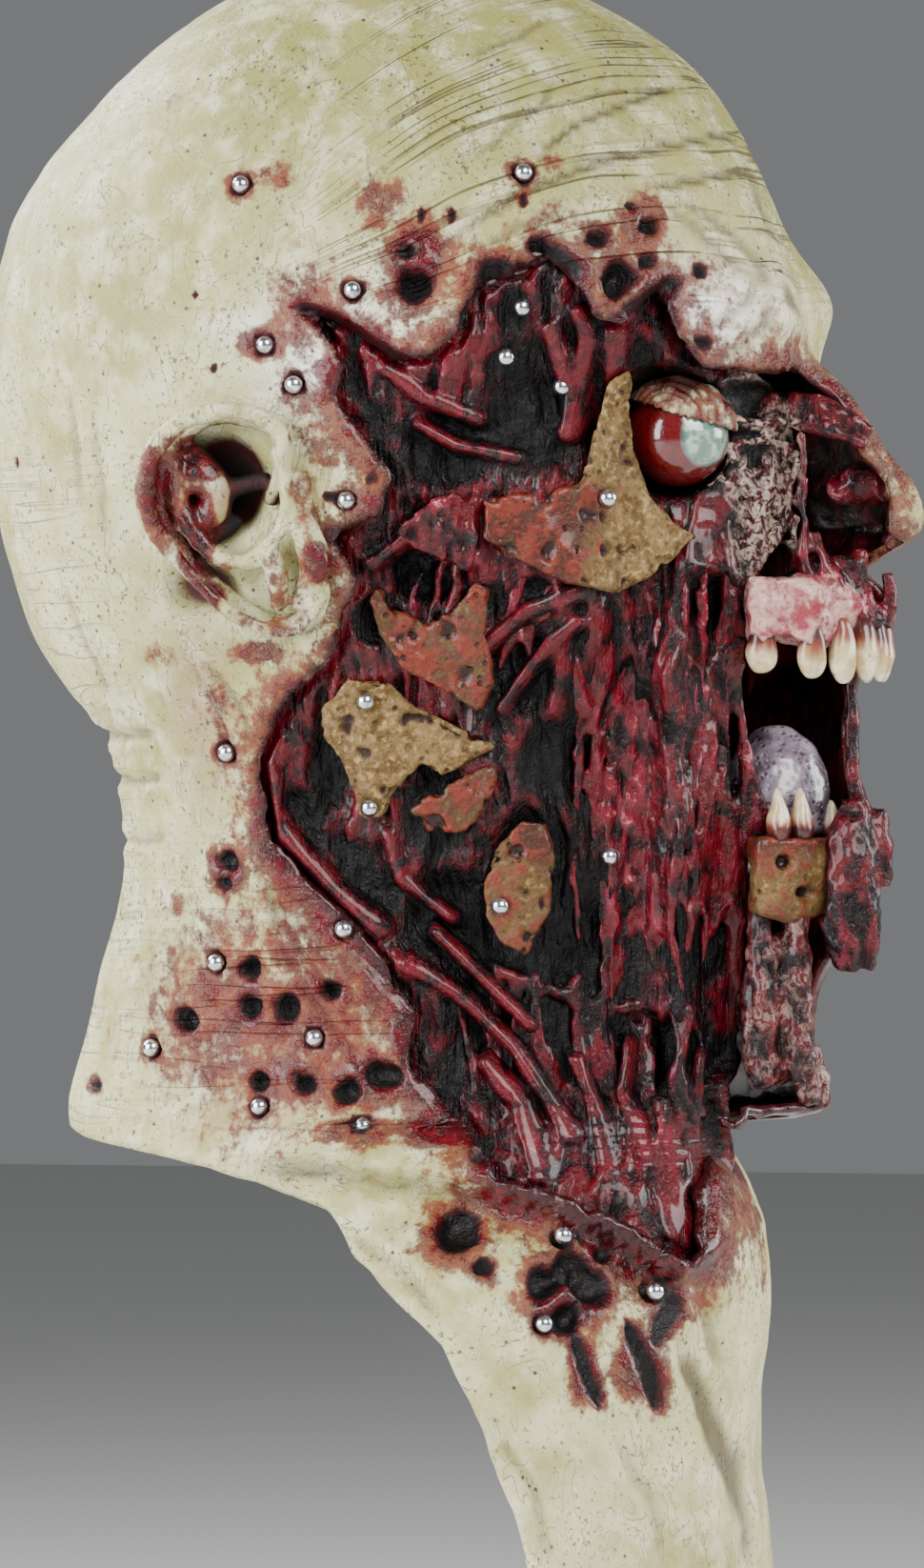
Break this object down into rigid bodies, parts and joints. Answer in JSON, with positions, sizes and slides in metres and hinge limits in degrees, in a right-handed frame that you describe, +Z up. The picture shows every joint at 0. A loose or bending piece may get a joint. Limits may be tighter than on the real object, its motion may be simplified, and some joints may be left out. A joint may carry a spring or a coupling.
{
  "type": "halloween mask",
  "caption": "Full-head latex horror mask with a long bib: bald wrinkled skin, open right side of torn flesh, bare teeth, exposed jaw and a cloudy eye.",
  "frame": {"origin": "the point inside the crown where the wearer's head meets the latex", "axes": "+Z up, -Y the way the face looks, -X the mask's own right side, which is the wounded one"},
  "size_m": [0.2092, 0.257, 0.455],
  "materials": {
    "latex_skin": "satin painted latex, pale olive, speckled and scored",
    "wet_flesh": "gloss lacquered latex, dark crimson",
    "old_bone": "matt latex, ochre and stained red",
    "tooth": "gloss, yellowed and stained brown",
    "eye": "wet gloss, bloodshot, cloudy pale green iris",
    "tongue": "wet gloss, grey purple",
    "steel_pellet": "polished"
  },
  "bodies": {
    "root": {"head_skin": "latex_skin", "wound_bed": "wet_flesh", "eyeball": "eye", "eyelid": "wet_flesh", "cheekbone": "old_bone", "temple_muscle": "wet_flesh", "jaw_ramus": "old_bone", "mastoid_plate": "old_bone", "flesh_chunk": "wet_flesh", "bone_chip": "old_bone", "cheek_strands": "wet_flesh", "neck_sinews": "wet_flesh", "right_ear": "latex_skin", "left_ear": "latex_skin", "upper_gum": "wet_flesh", "lower_gum": "old_bone", "upper_tooth_1": "tooth", "upper_tooth_2": "tooth", "upper_tooth_3": "tooth", "upper_tooth_4": "tooth", "upper_tooth_5": "tooth", "upper_tooth_6": "tooth", "upper_tooth_7": "tooth", "upper_tooth_8": "tooth", "lower_tooth_1": "tooth", "lower_tooth_2": "tooth", "lower_tooth_3": "tooth", "lower_tooth_4": "tooth", "tongue": "tongue", "torn_lip": "wet_flesh", "jaw_stump": "wet_flesh", "pellet_1": "steel_pellet", "pellet_2": "steel_pellet", "pellet_3": "steel_pellet", "pellet_4": "steel_pellet", "pellet_5": "steel_pellet", "pellet_6": "steel_pellet", "pellet_7": "steel_pellet", "pellet_8": "steel_pellet", "pellet_9": "steel_pellet", "pellet_10": "steel_pellet", "pellet_11": "steel_pellet", "pellet_12": "steel_pellet", "pellet_13": "steel_pellet", "pellet_14": "steel_pellet", "pellet_15": "steel_pellet", "pellet_16": "steel_pellet", "pellet_17": "steel_pellet", "pellet_18": "steel_pellet", "pellet_19": "steel_pellet", "pellet_20": "steel_pellet", "pellet_21": "steel_pellet", "pellet_22": "steel_pellet", "pellet_23": "steel_pellet", "pellet_24": "steel_pellet"}
  },
  "joints": []
}
